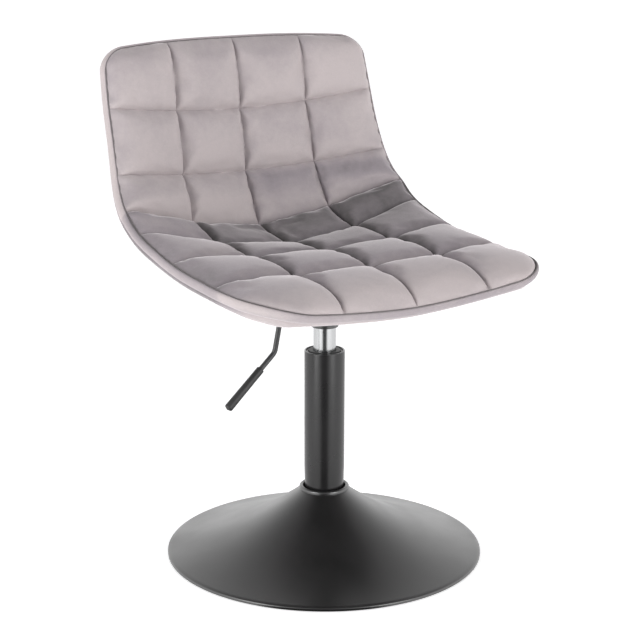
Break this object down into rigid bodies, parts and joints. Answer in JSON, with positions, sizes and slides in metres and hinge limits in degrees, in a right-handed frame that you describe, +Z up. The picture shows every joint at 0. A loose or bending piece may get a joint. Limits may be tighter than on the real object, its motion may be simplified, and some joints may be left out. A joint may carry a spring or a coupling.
{
  "type": "swivel chair",
  "caption": "Height-adjustable swivel bucket chair: quilted velvet shell with a low back, gas lift with a lever, and a round trumpet-shaped base.",
  "frame": {"origin": "on the column's axis at floor level", "axes": "+Z up the column, -Y the way the sitter faces, +X to the sitter's left"},
  "size_m": [0.425, 0.4352, 0.6281],
  "materials": {
    "velvet": "short-pile velvet, grey-mauve",
    "black_cloth": "non-woven lining cloth",
    "plywood": "bare birch veneer",
    "black_paint": "satin powder coat",
    "chrome": "polished",
    "steel": "zinc plated",
    "cast_iron": "rough",
    "rubber": "matt",
    "black_plastic": "fine moulded texture",
    "pale_plastic": "plain moulded"
  },
  "bodies": {
    "base": {"base_cover": "black_paint", "bottom_plate": "steel", "floor_ring": "rubber", "ballast_ring": "cast_iron", "hub_sleeve": "steel", "neck_ring": "black_plastic", "stand_pipe": "black_paint", "bush_collar": "black_plastic", "guide_bush": "pale_plastic", "pipe_floor": "steel", "lower_race": "steel"},
    "rod": {"piston_rod": "steel", "retaining_clip": "steel", "clip_washer": "steel", "upper_race": "steel", "bump_buffer": "rubber", "piston": "steel", "piston_seal": "rubber"},
    "cage": {"ball_cage": "pale_plastic", "ball_1": "steel", "ball_2": "steel", "ball_3": "steel", "ball_4": "steel", "ball_5": "steel", "ball_6": "steel", "ball_7": "steel", "ball_8": "steel"},
    "seat": {"pressure_tube": "chrome", "rod_guide": "black_plastic", "rod_seal": "rubber", "inner_tube": "steel", "valve_body": "steel", "seat_socket": "black_paint", "lever_housing": "black_paint", "pivot_pin": "steel", "mechanism_plate": "black_paint", "seat_washer_1": "steel", "seat_washer_2": "steel", "seat_washer_3": "steel", "seat_washer_4": "steel", "seat_screw_1": "steel", "seat_screw_2": "steel", "seat_screw_3": "steel", "seat_screw_4": "steel", "tee_nut_1": "steel", "tee_nut_2": "steel", "tee_nut_3": "steel", "tee_nut_4": "steel", "quilted_pad": "velvet", "plywood_shell": "plywood", "rear_cover": "velvet", "side_band": "velvet", "edge_piping": "velvet", "dust_cover": "black_cloth"},
    "lever": {"lever_rod": "black_paint", "lever_grip": "black_plastic"},
    "valve": {"valve_pin": "steel"}
  },
  "joints": [
    {"name": "swivel", "type": "hinge", "parent": "base", "child": "rod", "pos_m": [0, 0, 0.0225], "axis": [0, 0, 1], "continuous": true},
    {"name": "cage_spin", "type": "hinge", "parent": "base", "child": "cage", "pos_m": [0, 0, 0.0204], "axis": [0, 0, 1], "continuous": true},
    {"name": "seat_lift", "type": "slide", "parent": "rod", "child": "seat", "axis": [0, 0, 1], "range_m": [0, 0.12]},
    {"name": "lever_pull", "type": "hinge", "parent": "seat", "child": "lever", "pos_m": [-0.03, 0, 0.33], "axis": [0, 1, 0], "range_deg": [0, 8], "stiffness_Nm_per_rad": 0.8},
    {"name": "valve_press", "type": "slide", "parent": "seat", "child": "valve", "axis": [0, 0, -1], "range_m": [0, 0.0045]}
  ],
  "couplings": [
    {"joint": "cage_spin", "follows": "swivel", "ratio": 0.5},
    {"joint": "valve_press", "follows": "lever_pull", "m_per_rad": 0.03}
  ]
}
